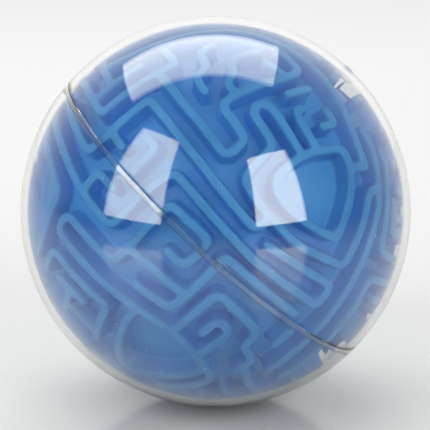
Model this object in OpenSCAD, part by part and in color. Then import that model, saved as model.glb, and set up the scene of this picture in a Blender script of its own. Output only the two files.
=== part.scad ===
// Maze ball: a clear two-part ball round a hollow core with raised maze walls.
// A small steel bead rolls between the walls. The ball leans on its side, polar axis up to the right.

/* [Ball] */
// Outside diameter of the clear ball
ball_d = 120; // [110:1:140]
// Wall thickness of the clear shells
shell_t = 2; // [1.6:0.1:2.5]
// Depth of the stepped lap joint between the two shells
lap_h = 1.7; // [1.2:0.1:3]
// Diameter of the moulding gate pip on each pole
pip_d = 4; // [2:0.5:6]
// Height of the gate pip above the ball
pip_h = 0.2; // [0.1:0.05:0.5]

/* [Core] */
// Height of the corridors, from the maze floor to the clear shell
corridor_h = 5; // [4.5:0.1:6]
// Wall thickness of the hollow core
core_t = 2.5; // [2:0.1:4]
// Diameter of the pins that hold the core at its poles
pin_d = 4; // [3:0.5:5]
// Running clearance round each pin
pin_gap = 0.05; // [0.02:0.01:0.1]

/* [Maze walls] */
// Width of a wall along its top
wall_top = 2.4; // [1.8:0.1:2.6]
// Width of a wall where it meets the floor
wall_foot = 3.1; // [2.4:0.1:3.4]
// Gap between the wall tops and the clear shell
wall_gap = 0.2; // [0.1:0.05:0.4]
// Longest stretch of wall between two cross-sections, in degrees
wall_step = 8; // [5:1:12]

/* [Bead] */
// Diameter of the steel bead
bead_d = 3; // [2.5:0.1:3.5]

/* [Stance] */
// Lean of the polar axis from upright
lean = 42.4; // [0:0.1:90]
// Turn of the core about the polar axis
turn = -98.8; // [-180:0.1:180]

/* [Hidden] */
$fn = 96;

ball_r = ball_d / 2;
shell_in = ball_r - shell_t;
floor_r = shell_in - corridor_h;
core_in = floor_r - core_t;
top_r = shell_in - wall_gap;
sink = 0.6;                        // how far the wall feet and the hubs stand in the core
joint_gap = 0.05;                  // gap between two moulded halves
mid_r = ball_r - shell_t / 2;      // radius at which the lap joint steps
lap_root = 0.5;                    // height of the lap joint's skirt where it joins the upper shell
boss_r = 3.5;                      // thick round pad behind each gate pip
boss_h = 1.5;
pin_end = core_in - 2;
socket_end = pin_end - 0.5;        // bottom of the socket that each pin stands in
hub_r = 4.5;                       // boss round each socket, inside the core
hub_end = socket_end - 1.5;
spigot_t = 1.5;                    // ring that centres the upper core in the lower one
spigot_h = 3;
spigot_root = 3;                   // height of the ring where it joins the upper core
spigot_gap = 0.4;
spigot_r = core_in - spigot_gap;
seam_lat = 0.2;                    // walls that cross the equator stop this short of it, in degrees
nose_share = 0.5;                  // width of a wall's free end, as a share of the wall
bead_place = [149, -25.7];         // longitude and latitude at which the bead rests
margin = 1;                        // how far a cutting solid reaches past what it cuts

clear_plastic = [0.92, 0.94, 0.96, 0.3];
blue_plastic = [0.22, 0.47, 0.76];
wall_blue = [0.30, 0.55, 0.80];
steel = [0.75, 0.76, 0.78];

// Walls as runs of [longitude, latitude] corners on the core, in degrees. Longitude 0 faces the front.
// The first value of a run says how each end is finished: F is a free round end, J meets another wall.
UPPER_RUNS = [
    // long outer wall that sweeps round the left and over the top
    ["FF", [[-66, 11.5], [-63, 20], [-62.5, 30], [-62.5, 40], [-61, 50], [-56, 58], [-48, 62.5],
            [-38, 65.5], [-25, 67.2], [-10, 67], [2, 65.5], [12, 62.7], [22, 58], [30, 53],
            [36, 49.3]]],
    ["FJ", [[36, 49.3], [29, 45.7]]],
    // hooked wall, down the middle and back along the left
    ["FJ", [[-43, 60], [-34, 60.8], [-25, 61], [-20.5, 60.3], [-19, 57], [-20, 51], [-21.7, 45],
            [-22.7, 38], [-23, 33.5], [-21.5, 31.5], [-16, 31], [-10, 30], [-8.3, 28.5],
            [-8.3, 24], [-9.7, 22.4], [-14, 22.8], [-20, 23.6], [-30, 24], [-46.6, 24]]],
    ["JF", [[-20, 54.2], [-26, 54], [-31, 52.5]]],
    ["FJ", [[-40, 53.5], [-39.5, 48], [-38.5, 44.5], [-36, 42.5], [-31.5, 41.7], [-30, 39.5],
            [-28.5, 37.4], [-23, 37.4]]],
    ["FF", [[-50, 42], [-48, 38.5], [-45, 36.7], [-39.5, 36.8], [-38, 34], [-36.5, 31.5], [-30, 31]]],
    // left-hand bays
    ["FJ", [[-54, 21.5], [-54, 4.8]]],
    ["FF", [[-79, 3.8], [-66, 4.8], [-46.8, 4.8], [-46.6, 24], [-46.5, 29.7], [-56, 29.5]]],
    ["JJ", [[-80, 11.5], [-54, 11.5]]],
    ["SJ", [[-39.5, 0], [-39, 3.6], [-39, 16.5], [-38, 17.5], [-30, 17.5], [-18, 16.6], [0, 14.4],
            [10.5, 13.1], [12.2, 14], [12.5, 18.3]]],
    ["JF", [[-39.4, 3.8], [-32.5, 3.4]]],
    ["FS", [[-29, 10.2], [-25.5, 10.4], [-24.6, 9], [-24.6, 0]]],
    // islands and hooks near the pole
    ["FF", [[-8.3, 57.5], [-11.7, 50.2]]],
    ["FF", [[6, 56], [13, 54], [8.8, 50.2]]],
    ["FJ", [[-2.5, 50], [-4, 48.7], [-2.5, 46.8], [4, 44.9], [12, 42.6]]],
    // meander above the pocket, then round the right-hand side
    ["JS", [[9, 37.7], [0, 40.2], [-6, 41.6], [-12, 42.4], [-14.8, 41], [-15, 38.3], [-13, 36.8],
            [-2.3, 34.6], [-0.8, 33], [-0.8, 23], [0.5, 21], [6, 19.3], [12.5, 18.3], [18, 17.7],
            [25, 17.3], [30, 18.2], [41, 20], [42.5, 21.5], [42.8, 33], [41.7, 40], [42, 43],
            [44, 44.8], [47, 44.6], [49, 42], [49.3, 30], [49.3, 0]]],
    // pocket with a round back
    ["OO", [[9, 37.5], [11, 41], [15, 44.5], [19.5, 47.8], [22.4, 48.5], [25.2, 47.5], [28.5, 45],
            [31.5, 41], [33.4, 36], [34.3, 30], [34.5, 26.7], [33.7, 25.2], [30, 24.5], [25, 23.9],
            [20, 23.5], [13, 23.8], [9, 25], [7, 27.5], [6.7, 30.5], [7.5, 34], [9, 37.5]]],
    ["SF", [[-17.8, 0], [-17, 6], [-15.3, 9.2], [-10, 9], [0, 8], [16.5, 6.4], [30, 6.7], [41, 7],
            [42.4, 8], [42.4, 13], [41, 14], [30, 13], [17.5, 11.9]]],
    ["SS", [[-10.6, 0], [-10.2, 2], [-9, 2.6], [3, 2.5], [4.4, 1.6], [4.5, 0]]],
    ["SF", [[10.5, 0], [10.6, 1.7], [12, 2], [38, 1.7]]],
    // right-hand side
    ["FJ", [[31, 60.5], [36, 59], [41, 55.5], [44.5, 50.5], [46.5, 47], [47, 44.6]]],
    ["FJ", [[48, 58], [52, 56.5], [54, 50], [54.8, 43], [56, 36], [57, 30.5], [60, 29.4], [82, 28]]],
    ["JS", [[81.5, 21.9], [60, 21.9], [57.5, 21.2], [57, 19], [57, 0]]],
    ["FJ", [[61, 45], [62.5, 41], [63, 36.5], [83, 35.5]]],
    ["JJ", [[62.5, 40.8], [83.2, 40.8]]],
    ["FJ", [[66, 49], [83.8, 49]]],
    ["FJ", [[66, 16.5], [80.7, 16.5]]],
    ["FJ", [[64, 57], [84, 57]]],
    ["FJ", [[60, 67.5], [75, 66.5], [83.8, 66.3]]],
    // long walls down either side, with gaps that lead to the rear
    ["FF", [[80.4, 12.3], [82.4, 27.8]]],
    ["FS", [[80, 8.4], [79.2, 0]]],
    ["FF", [[83.2, 35], [83.5, 41.1]]],
    ["FF", [[84, 46.8], [84.3, 56], [84, 67.5]]],
    ["FF", [[-80, 9.2], [-82.5, 29], [-84, 45], [-84.3, 60], [-83.5, 70], [-81, 76.5], [-80, 80.5]]],
    ["FF", [[-72.5, 18], [-73, 40], [-70, 52]]],
    // between the front and the rear
    ["FS", [[86.5, 6.3], [86.3, 0]]],
    ["FS", [[93.5, 9], [93.7, 0]]],
    ["FF", [[90.5, 14], [90, 28.5]]],
    ["JF", [[83.4, 38.2], [89.5, 38.2]]],
    // near the pole
    ["FF", [[22.5, 70], [37.5, 76.5], [70, 80]]],
    ["FJ", [[-33, 74], [-60, 76], [-80.5, 76.2]]]
];
// The one wall that leads over the upper pole, on the front only
POLE_RUNS = [
    ["FJ", [[-3.5, 71.5], [-8, 80], [-20, 83.5], [-62, 84.1], [-80.2, 79.2]]]
];
LOWER_RUNS = [
    ["SF", [[4.5, 0], [4.6, -5], [3.6, -7.2], [2, -7.8], [-2.1, -7.6]]],
    ["SJ", [[-10.7, 0], [-10.8, -15], [-11.2, -19], [-12.2, -21.2], [-14.5, -22], [-22, -22.2],
            [-32, -22.2], [-34.2, -23.7], [-34.8, -26.3], [-34, -28.5], [-31.5, -29.1], [-20, -29.3],
            [-10, -29], [0, -27.9], [5, -26.9], [10, -26.1], [15, -25.7], [20, -25.8], [26, -26.5],
            [30, -27.4], [33.5, -28.6]]],
    ["SF", [[10.5, 0], [10.4, -12], [10, -17], [9.3, -19.5], [7.5, -20.3], [-2.7, -21.6]]],
    ["JJ", [[-10.8, -14.8], [0, -14.3], [10.2, -13.5]]],
    ["JF", [[15.6, -25.6], [15.7, -16], [16, -8.5], [17.5, -7], [25, -7.6], [32, -8.4], [33.8, -9.5],
            [34, -13], [35.3, -15.2], [39.5, -16.2], [41.2, -17.8], [41.4, -22.8]]],
    ["FJ", [[22, -19.2], [22, -14.7], [23, -13.2], [26, -13.2], [27.6, -14.8], [27.7, -26.3]]],
    // pocket below the long wall
    ["JJ", [[3, -27.5], [3, -32], [3.8, -36], [5.7, -40.5], [9, -45.2], [12, -48.5], [17, -51],
            [23.5, -49.5], [28, -45.5], [31.2, -41], [33.2, -36.5], [34, -32], [33.5, -28.6]]],
    // left-hand side
    ["JF", [[-33.2, -13.6], [-33, -7.3], [-32, -6.3], [-26, -6.3]]],
    ["JS", [[-77, -8], [-62, -9.3], [-50, -10.9], [-40, -12.7], [-33, -13.8], [-22, -14.5], [-19.4, -13.8],
            [-18.5, -12], [-17.8, 0]]],
    ["FS", [[-68, -1.9], [-50, -4], [-43, -5.1], [-40.5, -4.5], [-39.7, -2.8], [-39.5, 0]]],
    ["SF", [[-24.6, 0], [-24.6, -1.5]]],
    ["JF", [[-76, -13], [-62, -15], [-50, -17.5], [-43, -19.3], [-41.4, -21], [-41.3, -30], [-41.8, -36],
            [-43, -43]]],
    ["FF", [[-35.5, -44], [-34.6, -38], [-33.5, -36], [-31, -35.3], [-20, -35.6], [-10, -35.2],
            [-6, -34.7], [-4.6, -36], [-4, -40], [-2.3, -45], [0, -50]]],
    ["FF", [[-27, -41.5], [-13.2, -41]]],
    ["JF", [[-20, -41.2], [-19.5, -51]]],
    ["FJ", [[-16, -47.2], [-1.5, -47]]],
    // right-hand side
    ["FF", [[41.4, -3], [41.4, -8.8]]],
    ["SF", [[49.3, 0], [49.3, -16.7]]],
    ["SF", [[57, 0], [57, -17]]],
    ["FF", [[43.5, -21.3], [47, -23.4], [52, -25.2], [60, -26.3]]],
    ["FF", [[37, -29.3], [39.7, -31.3], [40.7, -34], [40, -42], [37, -49]]],
    ["FJ", [[65, -17], [75, -17]]],
    ["FJ", [[52, -34], [70, -33.5]]],
    ["FJ", [[50, -42], [65.5, -42]]],
    // long walls down either side and under the ball
    ["FF", [[77, -11], [75.3, -18], [71.5, -30], [67, -40], [60, -50], [52, -57], [41, -63], [27, -67],
            [0, -69.5], [-27, -67], [-41, -63], [-52, -57], [-60, -50], [-67, -40], [-71, -31],
            [-72.7, -26]]],
    ["FF", [[-78, -4.5], [-77, -10], [-74.6, -21.3]]],
    ["FF", [[-38, -56], [-15, -58.5], [10, -59], [35, -56.5]]],
    ["FF", [[-60, -76], [-20, -78], [20, -78], [60, -76]]],
    // between the front and the rear
    ["SF", [[93.7, 0], [95, -9]]],
    ["FF", [[84, -12], [83, -20], [81, -30], [78, -38], [72, -48]]],
    ["FF", [[97, -13.5], [98, -20], [99, -30], [102, -40], [107, -49]]],
    ["FF", [[89, -13], [93, -16]]],
    ["JF", [[82.8, -21.2], [93.2, -21.2]]],
    ["JF", [[98.8, -27.4], [87, -27.4]]],
    ["JF", [[79.8, -33.8], [95, -33.8]]],
    ["JF", [[102.2, -40.3], [85, -40.3]]],
    ["FF", [[79, -47], [100, -47]]],
    ["FF", [[62, -55], [90, -56.5], [116, -55]]],
    ["FF", [[58, -63.5], [90, -65], [120, -63.5]]],
    ["FF", [[74, -72], [90, -72.5], [106, -72]]]
];

// Directions and planes on the unit sphere
function direction(p) = [cos(p[1]) * cos(p[0]), cos(p[1]) * sin(p[0]), sin(p[1])];
function angle_between(a, b) = acos(min(1, a * b));
function along(a, b, t) = let(w = angle_between(a, b)) (sin((1 - t) * w) * a + sin(t * w) * b) / sin(w);
function side(a, b) = cross(a, b) / norm(cross(a, b));
function mitre(m, n) = (m + n) / (1 + m * n);

// Each station of a wall is its direction from the ball's centre and its sideways unit vector
function stations(dirs, first_side, last_side) =
    let(last = len(dirs) - 1, sides = [for (i = [0 : last - 1]) side(dirs[i], dirs[i + 1])])
    [
        for (i = [0 : last - 1])
            let(n = ceil(angle_between(dirs[i], dirs[i + 1]) / wall_step))
            for (k = [0 : n - 1])
                [along(dirs[i], dirs[i + 1], k / n),
                 k > 0 ? sides[i] : i > 0 ? mitre(sides[i - 1], sides[i]) : first_side(sides)],
        [dirs[last], last_side(sides)]
    ];
function nose(d, next) = along(d, next, -wall_top / 2 / top_r * 180 / PI / angle_between(d, next));

function open_stations(kind, dirs) =
    let(
        body = stations(dirs, function (s) s[0], function (s) s[len(s) - 1]),
        last = len(body) - 1,
        n = len(dirs) - 1
    )
    [
        if (kind[0] == "F") [nose(dirs[0], dirs[1]), body[0][1] * nose_share],
        each body,
        if (kind[1] == "F") [nose(dirs[n], dirs[n - 1]), body[last][1] * nose_share]
    ];
function ring_stations(dirs) =
    let(
        corner = function (s) mitre(s[len(s) - 1], s[0]),
        body = stations(dirs, corner, corner)
    )
    [for (i = [0 : len(body) - 2]) body[i]];

// A run that ends at the equator stops just short of it, on its own side
function seam_end(p, next) = [p[0], next[1] > 0 ? seam_lat : -seam_lat];
function run_dirs(run) =
    let(p = run[1], n = len(p) - 1)
    [
        for (i = [0 : n])
            direction(i == 0 && run[0][0] == "S" ? seam_end(p[0], p[1])
                      : i == n && run[0][1] == "S" ? seam_end(p[n], p[n - 1]) : p[i])
    ];

function section(s) =
    let(foot_r = floor_r - sink)
    [
        s[0] * foot_r - s[1] * wall_foot / 2,
        s[0] * foot_r + s[1] * wall_foot / 2,
        s[0] * top_r + s[1] * wall_top / 2,
        s[0] * top_r - s[1] * wall_top / 2
    ];

module wall(run) {
    closed = run[0] == "OO";
    dirs = run_dirs(run);
    rings = closed ? ring_stations(dirs) : open_stations(run[0], dirs);
    count = len(rings);
    joins = closed ? count : count - 1;
    sides = [
        for (i = [0 : joins - 1])
            for (k = [0 : 3])
                let(
                    a = 4 * i + k,
                    b = 4 * i + (k + 1) % 4,
                    c = 4 * ((i + 1) % count) + (k + 1) % 4,
                    d = 4 * ((i + 1) % count) + k
                )
                each [[a, c, b], [a, d, c]]
    ];
    e = 4 * (count - 1);
    ends = closed ? [] : [[0, 1, 2], [0, 2, 3], [e, e + 2, e + 1], [e, e + 3, e + 2]];
    polyhedron(points = [for (s = rings) each section(s)], faces = concat(sides, ends));
}

// Places a shape that is modelled with its polar axis upright
module stance() {
    rotate([0, lean, 0])
        rotate([0, 0, turn])
            children();
}

module half_ball(r) {
    intersection() {
        sphere(r = r);
        translate([-r - margin, -r - margin, 0])
            cube([2 * (r + margin), 2 * (r + margin), r + margin]);
    }
}

module hollow_half(r_out, r_in) {
    difference() {
        half_ball(r_out);
        sphere(r = r_in);
    }
}

// Thick pad behind the gate pip, with the pin that holds the core
module polar_pin() {
    intersection() {
        union() {
            translate([0, 0, shell_in - boss_h])
                cylinder(r = boss_r, h = boss_h + shell_t);
            translate([0, 0, pin_end])
                cylinder(d = pin_d, h = ball_r - pin_end);
        }
        sphere(r = mid_r);
    }
    translate([0, 0, mid_r])
        cylinder(d = pip_d, h = shell_t / 2 + pip_h);
}

module shell_upper() {
    color(clear_plastic)
        stance() {
            hollow_half(ball_r, shell_in);
            difference() {
                translate([0, 0, -lap_h])
                    cylinder(r = mid_r - joint_gap / 2, h = lap_h + lap_root);
                sphere(r = shell_in);
            }
            polar_pin();
        }
}

module shell_lower() {
    color(clear_plastic)
        stance()
            mirror([0, 0, 1])
                difference() {
                    union() {
                        hollow_half(ball_r, shell_in);
                        polar_pin();
                    }
                    translate([0, 0, -margin])
                        cylinder(r = mid_r + joint_gap / 2, h = lap_h + joint_gap + margin);
                    translate([0, 0, -margin])
                        cylinder(r = ball_r + margin, h = joint_gap + margin);
                }
}

// Half of the core with the collar and socket for the pin
module core_half() {
    difference() {
        union() {
            hollow_half(floor_r, core_in);
            translate([0, 0, hub_end])
                cylinder(r = hub_r, h = core_in + sink - hub_end);
        }
        translate([0, 0, socket_end])
            cylinder(r = pin_d / 2 + pin_gap, h = ball_r);
    }
}

module core_upper() {
    color(blue_plastic)
        stance() {
            core_half();
            difference() {
                union() {
                    translate([0, 0, -spigot_h])
                        cylinder(r = spigot_r, h = spigot_h + spigot_root);
                    cylinder(r = core_in + spigot_gap, h = spigot_root);
                }
                translate([0, 0, -spigot_h - margin])
                    cylinder(r = spigot_r - spigot_t, h = spigot_h + spigot_root + 2 * margin);
            }
        }
}

module core_lower() {
    color(blue_plastic)
        stance()
            mirror([0, 0, 1])
                difference() {
                    core_half();
                    translate([0, 0, -margin])
                        cylinder(r = floor_r + margin, h = joint_gap + margin);
                }
}

// One side of a half's maze: the rear repeats the front, half a turn round the polar axis
module maze(runs, half_turns) {
    color(wall_blue)
        stance()
            rotate([0, 0, 180 * half_turns])
                for (run = runs)
                    wall(run);
}

module upper_front_walls() {
    maze(concat(UPPER_RUNS, POLE_RUNS), 0);
}

module upper_rear_walls() {
    maze(UPPER_RUNS, 1);
}

module lower_front_walls() {
    maze(LOWER_RUNS, 0);
}

module lower_rear_walls() {
    maze(LOWER_RUNS, 1);
}

module bead() {
    color(steel)
        stance()
            translate(direction(bead_place) * (floor_r + shell_in) / 2)
                sphere(d = bead_d);
}

shell_upper();
shell_lower();
core_upper();
core_lower();
upper_front_walls();
upper_rear_walls();
lower_front_walls();
lower_rear_walls();
bead();
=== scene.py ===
import math

import bmesh
import bpy
import numpy as np
from mathutils import Matrix, Vector


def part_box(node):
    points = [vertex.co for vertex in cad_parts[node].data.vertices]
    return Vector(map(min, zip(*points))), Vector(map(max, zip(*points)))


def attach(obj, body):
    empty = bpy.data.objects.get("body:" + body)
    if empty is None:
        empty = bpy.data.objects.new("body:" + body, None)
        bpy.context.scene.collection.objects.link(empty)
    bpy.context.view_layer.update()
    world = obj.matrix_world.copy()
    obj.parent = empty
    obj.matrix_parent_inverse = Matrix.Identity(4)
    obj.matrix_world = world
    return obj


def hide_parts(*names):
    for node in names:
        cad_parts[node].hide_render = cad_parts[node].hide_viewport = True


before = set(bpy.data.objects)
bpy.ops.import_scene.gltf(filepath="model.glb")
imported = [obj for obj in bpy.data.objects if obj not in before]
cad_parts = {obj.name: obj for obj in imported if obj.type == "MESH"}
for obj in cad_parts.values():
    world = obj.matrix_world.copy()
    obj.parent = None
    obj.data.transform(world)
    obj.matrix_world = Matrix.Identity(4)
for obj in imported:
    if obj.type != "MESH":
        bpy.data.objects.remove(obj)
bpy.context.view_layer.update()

# Sizes, in metres, as in the CAD
BALL_R = 0.060
SHELL_IN = 0.058
MID_R = 0.059
FLOOR_R = 0.053
CORE_IN = 0.0505
TOP_R = 0.0578
LAP_H = 0.0017
SOCKET_R = 0.00205             # socket that a pin stands in, at each pole of the core
SOCKET_END = 0.048
BEAD_R = 0.0015

# Half of the gap between the two core halves, and the gap between the two shells
CORE_GAP = 0.00003
SHELL_GAP = 0.00005
# Half of the play in the stepped lap joint
LAP_PLAY = 0.000025
# Chamfer on the outside edges of the seam
CHAMFER = 0.0002

# Widths of a wall before smoothing, which brings them close to the CAD's 2.4 and 3.1 mm
WALL_TOP = 0.0026
WALL_FOOT = 0.0034
FOOT_R = FLOOR_R - 0.0012      # the walls start a little under the floor
POST_SIDES = 16
OVERRUN = 3                    # degrees that a wall on the parting line runs past it before the cut
WALL_STEP = math.radians(1.1)  # longest straight stretch of a wall
MIN_STEP = math.radians(0.15)  # stretches shorter than this are left out
VOXEL = 0.00045                # grid on which the walls and the floor are merged

CLEAR_TINT = (0.950, 0.945, 0.940, 1)
BLUE_DARK = (0.038, 0.318, 0.82, 1)
BLUE_LIGHT = (0.058, 0.365, 0.92, 1)
PLASTIC_IOR = 1.5

# The ball's lean, and its turn about its own polar axis
LEAN = math.radians(42.4)
TURN = math.radians(-98.8)
STANCE = Matrix.Rotation(LEAN, 4, "Y") @ Matrix.Rotation(TURN, 4, "Z")

# Walls as runs of (longitude, latitude) corners on the core, in degrees, as in the CAD source.
# The first value of a run names its two ends: F is free, J meets another wall, S crosses the parting
# line, and OO is a closed ring.
UPPER_RUNS = [
    # long outer wall that sweeps round the left and over the top
    ["FF", [[-66, 11.5], [-63, 20], [-62.5, 30], [-62.5, 40], [-61, 50], [-56, 58], [-48, 62.5],
            [-38, 65.5], [-25, 67.2], [-10, 67], [2, 65.5], [12, 62.7], [22, 58], [30, 53],
            [36, 49.3]]],
    ["FJ", [[36, 49.3], [29, 45.7]]],
    # hooked wall, down the middle and back along the left
    ["FJ", [[-43, 60], [-34, 60.8], [-25, 61], [-20.5, 60.3], [-19, 57], [-20, 51], [-21.7, 45],
            [-22.7, 38], [-23, 33.5], [-21.5, 31.5], [-16, 31], [-10, 30], [-8.3, 28.5],
            [-8.3, 24], [-9.7, 22.4], [-14, 22.8], [-20, 23.6], [-30, 24], [-46.6, 24]]],
    ["JF", [[-20, 54.2], [-26, 54], [-31, 52.5]]],
    ["FJ", [[-40, 53.5], [-39.5, 48], [-38.5, 44.5], [-36, 42.5], [-31.5, 41.7], [-30, 39.5],
            [-28.5, 37.4], [-23, 37.4]]],
    ["FF", [[-50, 42], [-48, 38.5], [-45, 36.7], [-39.5, 36.8], [-38, 34], [-36.5, 31.5], [-30, 31]]],
    # left-hand bays
    ["FJ", [[-54, 21.5], [-54, 4.8]]],
    ["FF", [[-79, 3.8], [-66, 4.8], [-46.8, 4.8], [-46.6, 24], [-46.5, 29.7], [-56, 29.5]]],
    ["JJ", [[-80, 11.5], [-54, 11.5]]],
    ["SJ", [[-39.5, 0], [-39, 3.6], [-39, 16.5], [-38, 17.5], [-30, 17.5], [-18, 16.6], [0, 14.4],
            [10.5, 13.1], [12.2, 14], [12.5, 18.3]]],
    ["JF", [[-39.4, 3.8], [-32.5, 3.4]]],
    ["FS", [[-29, 10.2], [-25.5, 10.4], [-24.6, 9], [-24.6, 0]]],
    # islands and hooks near the pole
    ["FF", [[-8.3, 57.5], [-11.7, 50.2]]],
    ["FF", [[6, 56], [13, 54], [8.8, 50.2]]],
    ["FJ", [[-2.5, 50], [-4, 48.7], [-2.5, 46.8], [4, 44.9], [12, 42.6]]],
    # meander above the pocket, then round the right-hand side
    ["JS", [[9, 37.7], [0, 40.2], [-6, 41.6], [-12, 42.4], [-14.8, 41], [-15, 38.3], [-13, 36.8],
            [-2.3, 34.6], [-0.8, 33], [-0.8, 23], [0.5, 21], [6, 19.3], [12.5, 18.3], [18, 17.7],
            [25, 17.3], [30, 18.2], [41, 20], [42.5, 21.5], [42.8, 33], [41.7, 40], [42, 43],
            [44, 44.8], [47, 44.6], [49, 42], [49.3, 30], [49.3, 0]]],
    # pocket with a round back
    ["OO", [[9, 37.5], [11, 41], [15, 44.5], [19.5, 47.8], [22.4, 48.5], [25.2, 47.5], [28.5, 45],
            [31.5, 41], [33.4, 36], [34.3, 30], [34.5, 26.7], [33.7, 25.2], [30, 24.5], [25, 23.9],
            [20, 23.5], [13, 23.8], [9, 25], [7, 27.5], [6.7, 30.5], [7.5, 34], [9, 37.5]]],
    ["SF", [[-17.8, 0], [-17, 6], [-15.3, 9.2], [-10, 9], [0, 8], [16.5, 6.4], [30, 6.7], [41, 7],
            [42.4, 8], [42.4, 13], [41, 14], [30, 13], [17.5, 11.9]]],
    ["SS", [[-10.6, 0], [-10.2, 2], [-9, 2.6], [3, 2.5], [4.4, 1.6], [4.5, 0]]],
    ["SF", [[10.5, 0], [10.6, 1.7], [12, 2], [38, 1.7]]],
    # right-hand side
    ["FJ", [[31, 60.5], [36, 59], [41, 55.5], [44.5, 50.5], [46.5, 47], [47, 44.6]]],
    ["FJ", [[48, 58], [52, 56.5], [54, 50], [54.8, 43], [56, 36], [57, 30.5], [60, 29.4], [82, 28]]],
    ["JS", [[81.5, 21.9], [60, 21.9], [57.5, 21.2], [57, 19], [57, 0]]],
    ["FJ", [[61, 45], [62.5, 41], [63, 36.5], [83, 35.5]]],
    ["JJ", [[62.5, 40.8], [83.2, 40.8]]],
    ["FJ", [[66, 49], [83.8, 49]]],
    ["FJ", [[66, 16.5], [80.7, 16.5]]],
    ["FJ", [[64, 57], [84, 57]]],
    ["FJ", [[60, 67.5], [75, 66.5], [83.8, 66.3]]],
    # long walls down either side, with gaps that lead to the rear
    ["FF", [[80.4, 12.3], [82.4, 27.8]]],
    ["FS", [[80, 8.4], [79.2, 0]]],
    ["FF", [[83.2, 35], [83.5, 41.1]]],
    ["FF", [[84, 46.8], [84.3, 56], [84, 67.5]]],
    ["FF", [[-80, 9.2], [-82.5, 29], [-84, 45], [-84.3, 60], [-83.5, 70], [-81, 76.5], [-80, 80.5]]],
    ["FF", [[-72.5, 18], [-73, 40], [-70, 52]]],
    # between the front and the rear
    ["FS", [[86.5, 6.3], [86.3, 0]]],
    ["FS", [[93.5, 9], [93.7, 0]]],
    ["FF", [[90.5, 14], [90, 28.5]]],
    ["JF", [[83.4, 38.2], [89.5, 38.2]]],
    # near the pole
    ["FF", [[22.5, 70], [37.5, 76.5], [70, 80]]],
    ["FJ", [[-33, 74], [-60, 76], [-80.5, 76.2]]]
]
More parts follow.
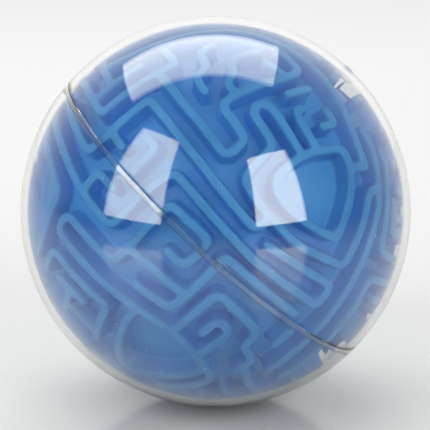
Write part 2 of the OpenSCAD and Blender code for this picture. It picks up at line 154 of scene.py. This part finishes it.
# The one wall that leads over the upper pole, on the front only
POLE_RUNS = [
    ["FJ", [[-3.5, 71.5], [-8, 80], [-20, 83.5], [-62, 84.1], [-80.2, 79.2]]]
]
LOWER_RUNS = [
    ["SF", [[4.5, 0], [4.6, -5], [3.6, -7.2], [2, -7.8], [-2.1, -7.6]]],
    ["SJ", [[-10.7, 0], [-10.8, -15], [-11.2, -19], [-12.2, -21.2], [-14.5, -22], [-22, -22.2],
            [-32, -22.2], [-34.2, -23.7], [-34.8, -26.3], [-34, -28.5], [-31.5, -29.1], [-20, -29.3],
            [-10, -29], [0, -27.9], [5, -26.9], [10, -26.1], [15, -25.7], [20, -25.8], [26, -26.5],
            [30, -27.4], [33.5, -28.6]]],
    ["SF", [[10.5, 0], [10.4, -12], [10, -17], [9.3, -19.5], [7.5, -20.3], [-2.7, -21.6]]],
    ["JJ", [[-10.8, -14.8], [0, -14.3], [10.2, -13.5]]],
    ["JF", [[15.6, -25.6], [15.7, -16], [16, -8.5], [17.5, -7], [25, -7.6], [32, -8.4], [33.8, -9.5],
            [34, -13], [35.3, -15.2], [39.5, -16.2], [41.2, -17.8], [41.4, -22.8]]],
    ["FJ", [[22, -19.2], [22, -14.7], [23, -13.2], [26, -13.2], [27.6, -14.8], [27.7, -26.3]]],
    # pocket below the long wall
    ["JJ", [[3, -27.5], [3, -32], [3.8, -36], [5.7, -40.5], [9, -45.2], [12, -48.5], [17, -51],
            [23.5, -49.5], [28, -45.5], [31.2, -41], [33.2, -36.5], [34, -32], [33.5, -28.6]]],
    # left-hand side
    ["JF", [[-33.2, -13.6], [-33, -7.3], [-32, -6.3], [-26, -6.3]]],
    ["JS", [[-77, -8], [-62, -9.3], [-50, -10.9], [-40, -12.7], [-33, -13.8], [-22, -14.5],
            [-19.4, -13.8], [-18.5, -12], [-17.8, 0]]],
    ["FS", [[-68, -1.9], [-50, -4], [-43, -5.1], [-40.5, -4.5], [-39.7, -2.8], [-39.5, 0]]],
    ["SF", [[-24.6, 0], [-24.6, -1.5]]],
    ["JF", [[-76, -13], [-62, -15], [-50, -17.5], [-43, -19.3], [-41.4, -21], [-41.3, -30], [-41.8, -36],
            [-43, -43]]],
    ["FF", [[-35.5, -44], [-34.6, -38], [-33.5, -36], [-31, -35.3], [-20, -35.6], [-10, -35.2],
            [-6, -34.7], [-4.6, -36], [-4, -40], [-2.3, -45], [0, -50]]],
    ["FF", [[-27, -41.5], [-13.2, -41]]],
    ["JF", [[-20, -41.2], [-19.5, -51]]],
    ["FJ", [[-16, -47.2], [-1.5, -47]]],
    # right-hand side
    ["FF", [[41.4, -3], [41.4, -8.8]]],
    ["SF", [[49.3, 0], [49.3, -16.7]]],
    ["SF", [[57, 0], [57, -17]]],
    ["FF", [[43.5, -21.3], [47, -23.4], [52, -25.2], [60, -26.3]]],
    ["FF", [[37, -29.3], [39.7, -31.3], [40.7, -34], [40, -42], [37, -49]]],
    ["FJ", [[65, -17], [75, -17]]],
    ["FJ", [[52, -34], [70, -33.5]]],
    ["FJ", [[50, -42], [65.5, -42]]],
    # long walls down either side and under the ball
    ["FF", [[77, -11], [75.3, -18], [71.5, -30], [67, -40], [60, -50], [52, -57], [41, -63], [27, -67],
            [0, -69.5], [-27, -67], [-41, -63], [-52, -57], [-60, -50], [-67, -40], [-71, -31],
            [-72.7, -26]]],
    ["FF", [[-78, -4.5], [-77, -10], [-74.6, -21.3]]],
    ["FF", [[-38, -56], [-15, -58.5], [10, -59], [35, -56.5]]],
    ["FF", [[-60, -76], [-20, -78], [20, -78], [60, -76]]],
    # between the front and the rear
    ["SF", [[93.7, 0], [95, -9]]],
    ["FF", [[84, -12], [83, -20], [81, -30], [78, -38], [72, -48]]],
    ["FF", [[97, -13.5], [98, -20], [99, -30], [102, -40], [107, -49]]],
    ["FF", [[89, -13], [93, -16]]],
    ["JF", [[82.8, -21.2], [93.2, -21.2]]],
    ["JF", [[98.8, -27.4], [87, -27.4]]],
    ["JF", [[79.8, -33.8], [95, -33.8]]],
    ["JF", [[102.2, -40.3], [85, -40.3]]],
    ["FF", [[79, -47], [100, -47]]],
    ["FF", [[62, -55], [90, -56.5], [116, -55]]],
    ["FF", [[58, -63.5], [90, -65], [120, -63.5]]],
    ["FF", [[74, -72], [90, -72.5], [106, -72]]]
]


# ---------------------------------------------------------------- helpers


def new_object(name, verts, faces, smooth=True):
    me = bpy.data.meshes.new(name)
    me.from_pydata([tuple(v) for v in verts], [], faces)
    me.update()
    ob = bpy.data.objects.new(name, me)
    bpy.context.scene.collection.objects.link(ob)
    if smooth:
        me.polygons.foreach_set("use_smooth", [True] * len(me.polygons))
    return ob


def evaluated(ob, name):
    """The object's mesh with its modifiers applied, as a new mesh."""
    dg = bpy.context.evaluated_depsgraph_get()
    me = bpy.data.meshes.new_from_object(ob.evaluated_get(dg))
    me.name = name
    return me


def lathe(profile, steps=256):
    """Vertices and faces of a closed profile of (radius, height) points turned round Z."""
    verts, rings = [], []
    for r, z in profile:
        if r < 1e-9:
            rings.append([len(verts)])
            verts.append((0, 0, z))
        else:
            rings.append(list(range(len(verts), len(verts) + steps)))
            verts += [
                (r * math.cos(2 * math.pi * k / steps), r * math.sin(2 * math.pi * k / steps), z)
                for k in range(steps)
            ]
    faces = []
    for i in range(len(rings) - 1):
        a, b = rings[i], rings[i + 1]
        for k in range(steps):
            k2 = (k + 1) % steps
            if len(a) == 1 and len(b) == 1:
                continue
            if len(a) == 1:
                faces.append((a[0], b[k2], b[k]))
            elif len(b) == 1:
                faces.append((a[k], a[k2], b[0]))
            else:
                faces.append((a[k], a[k2], b[k2], b[k]))
    return verts, faces


def arc(radius, z_from, z_to, steps):
    """Points on a circle of that radius in the (radius, height) plane, from one height to another."""
    a0 = math.asin(max(-1, min(1, z_from / radius)))
    a1 = math.asin(max(-1, min(1, z_to / radius)))
    return [
        (radius * math.cos(a0 + (a1 - a0) * k / steps), radius * math.sin(a0 + (a1 - a0) * k / steps))
        for k in range(steps + 1)
    ]


# ---------------------------------------------------------------- maze walls


def direction(p):
    """Unit vector towards a (longitude, latitude) in degrees."""
    lon, lat = math.radians(p[0]), math.radians(p[1])
    return np.array([math.cos(lat) * math.cos(lon), math.cos(lat) * math.sin(lon), math.sin(lat)])


def angle(a, b):
    return math.acos(max(-1.0, min(1.0, float(a @ b))))


def slerp(a, b, t):
    """The direction a share t of the way from a to b, along the great circle."""
    w = angle(a, b)
    if w < 1e-9:
        return a
    return (math.sin((1 - t) * w) * a + math.sin(t * w) * b) / math.sin(w)


def unit(v):
    return v / np.linalg.norm(v)


def rounded(dirs, closed):
    """Rounds each corner of a path on the sphere: gentle bends widely, so that arcs read as arcs."""
    gentle, wide, tight, steps = 32, math.radians(3.2), math.radians(1.3), 6
    n = len(dirs)
    out = []
    for i in range(n):
        if not closed and i in (0, n - 1):
            out.append(dirs[i])
            continue
        a, b, c = dirs[i - 1], dirs[i], dirs[(i + 1) % n]
        ta, tc = unit(a - b * (a @ b)), unit(c - b * (c @ b))
        turn = 180 - math.degrees(angle(ta, tc))
        reach = wide if turn < gentle else tight
        ra, rc = min(reach, 0.48 * angle(a, b)), min(reach, 0.48 * angle(b, c))
        p, q = slerp(b, a, ra / angle(a, b)), slerp(b, c, rc / angle(b, c))
        for k in range(steps + 1):
            t = k / steps
            out.append(unit((1 - t) ** 2 * p + 2 * t * (1 - t) * b + t * t * q))
    return out


def resample(dirs):
    """Cuts a path into stretches no longer than WALL_STEP."""
    out = [dirs[0]]
    for a, b in zip(dirs[:-1], dirs[1:]):
        w = angle(a, b)
        if w < MIN_STEP:
            continue
        n = math.ceil(w / WALL_STEP)
        out += [slerp(a, b, k / n) for k in range(1, n + 1)]
    return out


def prism(low, high, verts, faces):
    """Adds a closed prism between two outlines with the same number of corners."""
    n, base = len(low), len(verts)
    verts += list(low) + list(high)
    faces.append(tuple(base + k for k in reversed(range(n))))
    faces.append(tuple(base + n + k for k in range(n)))
    for k in range(n):
        k2 = (k + 1) % n
        faces.append((base + k, base + k2, base + n + k2, base + n + k))


def post(d, verts, faces):
    """Adds a round tapered post on the core's floor, in direction d."""
    u = unit(np.cross(d, (0, 0, 1) if abs(d[2]) < 0.9 else (1, 0, 0)))
    v = np.cross(d, u)
    turns = [2 * math.pi * k / POST_SIDES for k in range(POST_SIDES)]
    rim = [u * math.cos(t) + v * math.sin(t) for t in turns]
    prism(
        [d * FOOT_R + e * WALL_FOOT / 2 for e in rim],
        [d * TOP_R + e * WALL_TOP / 2 for e in rim],
        verts,
        faces,
    )


def wall(run, verts, faces):
    """Adds a wall along a run: a closed prism for each short stretch and a post where two meet."""
    kind, points = run
    closed = kind == "OO"
    pts = [tuple(p) for p in points]
    if kind[0] == "S":
        pts[0] = (pts[0][0], -OVERRUN if pts[1][1] > 0 else OVERRUN)
    if kind[1] == "S":
        pts[-1] = (pts[-1][0], -OVERRUN if pts[-2][1] > 0 else OVERRUN)
    if closed:
        pts = pts[:-1]
    path = rounded([direction(p) for p in pts], closed)
    if closed:
        path.append(path[0])
    path = resample(path)
    for a, b in zip(path[:-1], path[1:]):
        side = unit(np.cross(a, b))
        foot, top = side * WALL_FOOT / 2, side * WALL_TOP / 2
        prism(
            [a * FOOT_R - foot, b * FOOT_R - foot, b * FOOT_R + foot, a * FOOT_R + foot],
            [a * TOP_R - top, b * TOP_R - top, b * TOP_R + top, a * TOP_R + top],
            verts,
            faces,
        )
    for d in path:
        post(d, verts, faces)


def core_moulding(name, lists, up, nodes):
    """One core half with its maze walls, as one moulding with filleted feet and softened edges."""
    # a solid dome that reaches a little past the parting line, where it is cut later
    under = -0.003 * up
    dome = [(r, up * z) for r, z in arc(FLOOR_R, 0, FLOOR_R, 60)]
    v, faces = lathe([(0, under), (FLOOR_R * 0.9975, under)] + dome[:-1] + [(0, up * FLOOR_R)], 240)
    verts = [np.array(p) for p in v]
    for runs, half_turn in lists:
        first = len(verts)
        for run in runs:
            wall(run, verts, faces)
        if half_turn:
            for i in range(first, len(verts)):
                verts[i] = np.array([-verts[i][0], -verts[i][1], verts[i][2]])
    ob = new_object(name + "_raw", verts, faces, smooth=False)
    bm = bmesh.new()
    bm.from_mesh(ob.data)
    bmesh.ops.recalc_face_normals(bm, faces=bm.faces)
    bm.to_mesh(ob.data)
    bm.free()
    merge = ob.modifiers.new("merge", "REMESH")
    merge.mode = "VOXEL"
    merge.voxel_size = VOXEL
    soft = ob.modifiers.new("soft", "SMOOTH")
    soft.factor = 0.5
    soft.iterations = 4
    me = evaluated(ob, name)
    bpy.data.objects.remove(ob)

    # the floor and the wall tops go back to true spheres
    co = np.empty(len(me.vertices) * 3)
    me.vertices.foreach_get("co", co)
    co = co.reshape(-1, 3)
    rad = np.linalg.norm(co, axis=1)
    for target, reach in ((FLOOR_R, 0.00022), (TOP_R, 0.00016)):
        near = np.clip(2 - 2 * np.abs(rad - target) / reach, 0, 1)
        rad_new = rad + (target - rad) * near
        co *= (rad_new / np.maximum(rad, 1e-6))[:, None]
        rad = rad_new
    over = np.minimum(1, TOP_R / np.maximum(rad, 1e-6))
    co *= over[:, None]
    me.vertices.foreach_set("co", co.ravel())
    me.update()

    # cut square at the parting line, and hollow
    bm = bmesh.new()
    bm.from_mesh(me)
    bmesh.ops.bisect_plane(
        bm,
        geom=bm.verts[:] + bm.edges[:] + bm.faces[:],
        plane_co=(0, 0, up * CORE_GAP),
        plane_no=(0, 0, up),
        clear_inner=True,
    )
    # an opening at the pole for the socket, and a band of triangles from it to the round mouth
    opening_r = 0.0027
    gone = [f for f in bm.faces if math.hypot(*f.calc_center_median()[:2]) < opening_r]
    bmesh.ops.delete(bm, geom=gone, context="FACES")
    open_edges = [e for e in bm.edges if e.is_boundary]
    at_pole = [e for e in open_edges if abs(e.verts[0].co.z) > 0.04]
    at_seam = [e for e in open_edges if abs(e.verts[0].co.z) < 0.001]

    def ring(radius, z, steps):
        turns = [2 * math.pi * k / steps for k in range(steps)]
        return [bm.verts.new((radius * math.cos(t), radius * math.sin(t), z)) for t in turns]

    def loop(vs):
        return [bm.edges.new((vs[k], vs[(k + 1) % len(vs)])) for k in range(len(vs))]

    def bridge(a, b):
        n = len(a)
        for k in range(n):
            bm.faces.new((a[k], a[(k + 1) % n], b[(k + 1) % n], b[k]))

    mouth = ring(SOCKET_R, up * math.sqrt(FLOOR_R**2 - SOCKET_R**2), 48)
    bmesh.ops.triangle_fill(bm, use_beauty=True, use_dissolve=False, edges=at_pole + loop(mouth))
    foot = ring(SOCKET_R, up * SOCKET_END, 48)
    bridge(mouth, foot)
    bm.faces.new(foot)
    inner = [ring(r, up * z, 96) for r, z in arc(CORE_IN, CORE_GAP, CORE_IN * 0.99, 24)]
    bmesh.ops.triangle_fill(bm, use_beauty=True, use_dissolve=False, edges=at_seam + loop(inner[0]))
    for a, b in zip(inner[:-1], inner[1:]):
        bridge(a, b)
    bm.faces.new(inner[-1])
    bmesh.ops.recalc_face_normals(bm, faces=bm.faces)
    for f in bm.faces:
        f.smooth = True
    bm.to_mesh(me)
    bm.free()
    me.transform(STANCE)
    me.update()
    me.materials.clear()
    me.materials.append(blue)
    out = bpy.data.objects.new(name, me)
    bpy.context.scene.collection.objects.link(out)
    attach(out, "ball")
    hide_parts(*nodes)


# ---------------------------------------------------------------- materials


def material(name):
    m = bpy.data.materials.new(name)
    m.use_nodes = True
    nt = m.node_tree
    return m, nt, nt.nodes["Principled BSDF"]


def noise(nt, scale, detail=3.0, rough=0.5):
    c = nt.nodes.new("ShaderNodeTexCoord")
    n = nt.nodes.new("ShaderNodeTexNoise")
    n.inputs["Scale"].default_value = scale
    n.inputs["Detail"].default_value = detail
    n.inputs["Roughness"].default_value = rough
    nt.links.new(c.outputs["Object"], n.inputs["Vector"])
    return n


def remap(nt, source, lo, hi, to_lo, to_hi):
    r = nt.nodes.new("ShaderNodeMapRange")
    r.inputs["From Min"].default_value = lo
    r.inputs["From Max"].default_value = hi
    r.inputs["To Min"].default_value = to_lo
    r.inputs["To Max"].default_value = to_hi
    nt.links.new(source, r.inputs["Value"])
    return r.outputs["Result"]


def bump(nt, height, distance, normal=None):
    b = nt.nodes.new("ShaderNodeBump")
    b.inputs["Distance"].default_value = distance
    b.inputs["Strength"].default_value = 1.0
    nt.links.new(height, b.inputs["Height"])
    if normal is not None:
        nt.links.new(normal, b.inputs["Normal"])
    return b.outputs["Normal"]


def blue_plastic():
    """Satin moulded plastic: slightly mottled colour, a fine grain and long shallow waves."""
    m, nt, p = material("blue_plastic")
    mottle = noise(nt, 90, 3)
    mix = nt.nodes.new("ShaderNodeMix")
    mix.data_type = "RGBA"
    mix.inputs["A"].default_value = BLUE_DARK
    mix.inputs["B"].default_value = BLUE_LIGHT
    nt.links.new(remap(nt, mottle.outputs["Fac"], 0.35, 0.65, 0, 1), mix.inputs["Factor"])
    nt.links.new(mix.outputs["Result"], p.inputs["Base Color"])
    grain = noise(nt, 900, 4, 0.6)
    nt.links.new(remap(nt, grain.outputs["Fac"], 0.3, 0.7, 0.40, 0.52), p.inputs["Roughness"])
    fine = noise(nt, 2600, 2)
    wave = noise(nt, 130, 2)
    n1 = bump(nt, wave.outputs["Fac"], 0.00012)
    nt.links.new(bump(nt, fine.outputs["Fac"], 0.000012, n1), p.inputs["Normal"])
    p.inputs["IOR"].default_value = PLASTIC_IOR
    return m


def see_through(name):
    m, nt, p = material(name)
    p.inputs["Base Color"].default_value = CLEAR_TINT
    p.inputs["Transmission Weight"].default_value = 1.0
    p.inputs["IOR"].default_value = PLASTIC_IOR
    return m, nt, p


def clear_plastic():
    """Polished clear plastic with a faint uneven haze, small specks and a slight ripple."""
    m, nt, p = see_through("clear_plastic")
    haze = noise(nt, 45, 4, 0.6)
    specks = nt.nodes.new("ShaderNodeTexVoronoi")
    specks.inputs["Scale"].default_value = 110
    nt.links.new(haze.inputs["Vector"].links[0].from_socket, specks.inputs["Vector"])
    both = nt.nodes.new("ShaderNodeMath")
    both.operation = "ADD"
    nt.links.new(remap(nt, haze.outputs["Fac"], 0.35, 0.75, 0.0, 0.03), both.inputs[0])
    nt.links.new(remap(nt, specks.outputs["Distance"], 0.02, 0.045, 0.5, 0.0), both.inputs[1])
    nt.links.new(both.outputs["Value"], p.inputs["Roughness"])
    ripple = noise(nt, 24, 1)
    nt.links.new(bump(nt, ripple.outputs["Fac"], 0.00003), p.inputs["Normal"])
    return m


def frosted_plastic():
    """The faces of the lap joint: not polished, with small air bubbles trapped between them."""
    m, nt, p = see_through("frosted_plastic")
    bubbles = noise(nt, 900, 3, 0.7)
    nt.links.new(remap(nt, bubbles.outputs["Fac"], 0.50, 0.68, 0.02, 0.2), p.inputs["Roughness"])
    nt.links.new(bump(nt, bubbles.outputs["Fac"], 0.000001), p.inputs["Normal"])
    return m


def bearing_steel():
    """Polished steel with fine scuffs."""
    m, nt, p = material("bearing_steel")
    p.inputs["Metallic"].default_value = 1.0
    p.inputs["Base Color"].default_value = (0.74, 0.75, 0.77, 1)
    scuff = noise(nt, 2500, 5, 0.65)
    nt.links.new(remap(nt, scuff.outputs["Fac"], 0.35, 0.7, 0.05, 0.2), p.inputs["Roughness"])
    nt.links.new(bump(nt, scuff.outputs["Fac"], 0.000004), p.inputs["Normal"])
    return m


blue = blue_plastic()
clear = clear_plastic()
frosted = frosted_plastic()
steel = bearing_steel()


# ---------------------------------------------------------------- clear shells


def shell(name, up, node):
    """One clear half, turned from its section: lap joint, chamfered seam edge, gate pip, boss and pin."""
    pip_r, pip_h, pip_foot = 0.002, 0.0002, 0.0001
    boss_r, boss_h, boss_edge = 0.0035, 0.0015, 0.0002
    pin_r, pin_end, pin_edge = 0.002, 0.0485, 0.0003
    skirt_edge, skirt_lip = 0.00015, 0.00018
    arc_steps, turn_steps = 110, 320
    if up > 0:
        step_r, inner_end, outer_start = MID_R - LAP_PLAY, -LAP_H, CHAMFER
        seam = [(step_r, inner_end + skirt_edge), (step_r, 0), (BALL_R - CHAMFER, 0)]
        tail = [(SHELL_IN, inner_end), (MID_R - skirt_lip, inner_end)]
    else:
        step_r, inner_end, outer_start = MID_R + LAP_PLAY, LAP_H + SHELL_GAP, SHELL_GAP + CHAMFER
        seam = [(step_r, SHELL_GAP), (BALL_R - CHAMFER, SHELL_GAP)]
        tail = [(SHELL_IN, inner_end), (step_r, inner_end)]
    outer = arc(BALL_R, outer_start, math.sqrt(BALL_R**2 - (pip_r + pip_foot) ** 2), arc_steps)
    pip = [
        (pip_r * (1 - t), math.sqrt(BALL_R**2 - (pip_r * (1 - t)) ** 2) * (1 - e) + (BALL_R + pip_h) * e)
        for t, e in ((k / 12, 0.5 - 0.5 * math.cos(math.pi * min(1, k / 7))) for k in range(1, 13))
    ]
    boss = [
        (0, pin_end),
        (pin_r - pin_edge, pin_end),
        (pin_r, pin_end + pin_edge),
        (pin_r, SHELL_IN - boss_h),
        (boss_r - boss_edge, SHELL_IN - boss_h),
        (boss_r, SHELL_IN - boss_h + boss_edge),
    ]
    inside = arc(SHELL_IN, math.sqrt(SHELL_IN**2 - boss_r**2), inner_end, arc_steps)[:-1]
    profile = seam + outer + pip + boss + inside + tail
    profile.append(profile[0])
    verts, faces = lathe([(r, up * z) for r, z in profile], turn_steps)
    ob = new_object(name, verts, faces)
    bm = bmesh.new()
    bm.from_mesh(ob.data)
    bmesh.ops.remove_doubles(bm, verts=bm.verts, dist=1e-7)
    bmesh.ops.recalc_face_normals(bm, faces=bm.faces)
    for e in bm.edges:
        if e.is_manifold and e.calc_face_angle() > math.radians(25):
            e.smooth = False
    bm.to_mesh(ob.data)
    bm.free()
    # the upright faces of the lap joint take the second material
    joint_h, joint_w = 0.0021, 0.0001
    for f in ob.data.polygons:
        corners = [ob.data.vertices[i].co for i in f.vertices]
        on_step = all(
            abs(c.z) < joint_h and abs(math.hypot(c.x, c.y) - MID_R) < joint_w for c in corners
        )
        f.material_index = 1 if on_step else 0
    ob.data.transform(STANCE)
    ob.data.update()
    ob.data.materials.append(clear)
    ob.data.materials.append(frosted)
    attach(ob, "ball")
    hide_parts(node)
    return ob


shell("clear_shell_upper", 1, "shell_upper")
shell("clear_shell_lower", -1, "shell_lower")


# ---------------------------------------------------------------- core

core_moulding(
    "core_moulding_upper",
    [(UPPER_RUNS + POLE_RUNS, False), (UPPER_RUNS, True)],
    1,
    ["core_upper", "upper_front_walls", "upper_rear_walls"],
)
core_moulding(
    "core_moulding_lower",
    [(LOWER_RUNS, False), (LOWER_RUNS, True)],
    -1,
    ["core_lower", "lower_front_walls", "lower_rear_walls"],
)

# ---------------------------------------------------------------- bead

bead_lo, bead_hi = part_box("bead")
bm = bmesh.new()
bmesh.ops.create_icosphere(bm, subdivisions=4, radius=BEAD_R)
me = bpy.data.meshes.new("steel_bead")
bm.to_mesh(me)
bm.free()
me.transform(Matrix.Translation((bead_lo + bead_hi) / 2))
me.polygons.foreach_set("use_smooth", [True] * len(me.polygons))
me.materials.append(steel)
bead = bpy.data.objects.new("steel_bead", me)
bpy.context.scene.collection.objects.link(bead)
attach(bead, "bead")
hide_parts("bead")


# ---------------------------------------------------------------- floor, light, camera


def floor_material():
    m, _, p = material("floor")
    p.inputs["Base Color"].default_value = (0.63, 0.65, 0.70, 1)
    p.inputs["Roughness"].default_value = 0.08
    return m


FLOOR_REACH = 6
corners = [(x * FLOOR_REACH, y * FLOOR_REACH, -BALL_R) for x, y in ((-1, -1), (1, -1), (1, 1), (-1, 1))]
floor = new_object("floor", corners, [(0, 1, 2, 3)], smooth=False)
floor.data.materials.append(floor_material())

scene = bpy.context.scene
scene.view_settings.view_transform = "Standard"

# a white world, bright behind the ball and dim in front of it
world = bpy.data.worlds.new("studio")
scene.world = world
world.use_nodes = True
wt = world.node_tree
where = wt.nodes.new("ShaderNodeTexCoord")
split = wt.nodes.new("ShaderNodeSeparateXYZ")
wt.links.new(where.outputs["Generated"], split.inputs["Vector"])
wt.nodes["Background"].inputs["Color"].default_value = (1, 1, 1, 1)
wt.links.new(remap(wt, split.outputs["Y"], 0.0, 0.95, 0.19, 1.05), wt.nodes["Background"].inputs["Strength"])


def softbox(name, place, width, height, power, overhead=False):
    """A rectangular studio light: upright and facing the ball, or level above it."""
    data = bpy.data.lights.new(name, "AREA")
    data.color = (0.97, 0.95, 0.83)
    data.shape = "RECTANGLE"
    data.size, data.size_y = width, height
    data.energy = power
    ob = bpy.data.objects.new(name, data)
    scene.collection.objects.link(ob)
    ob.location = place
    if not overhead:
        ob.rotation_euler = Vector((place[0], place[1], 0)).to_track_quat("Z", "Y").to_euler()


softbox("softbox_left", (-0.81, -0.745, 0.72), 0.70, 1.28, 13.5)
softbox("softbox_right", (0.726, -0.966, 0.576), 0.63, 1.0, 13)
softbox("softbox_top", (-0.18, 0.65, 1.2), 1.46, 1.05, 15.5, overhead=True)

cam_data = bpy.data.cameras.new("camera")
cam = bpy.data.objects.new("camera", cam_data)
scene.collection.objects.link(cam)
scene.camera = cam
ELEVATION = math.radians(12.9)
CAMERA_DISTANCE = 8.03 * BALL_R
back = Vector((0, -math.cos(ELEVATION), math.sin(ELEVATION)))
cam.location = back * CAMERA_DISTANCE
cam.rotation_euler = back.to_track_quat("Z", "Y").to_euler()
cam_data.sensor_width = 36
cam_data.lens = 130.35
cam_data.shift_x = -0.0012
cam_data.shift_y = -0.0086
cam_data.clip_start = 0.01
cam_data.clip_end = 50
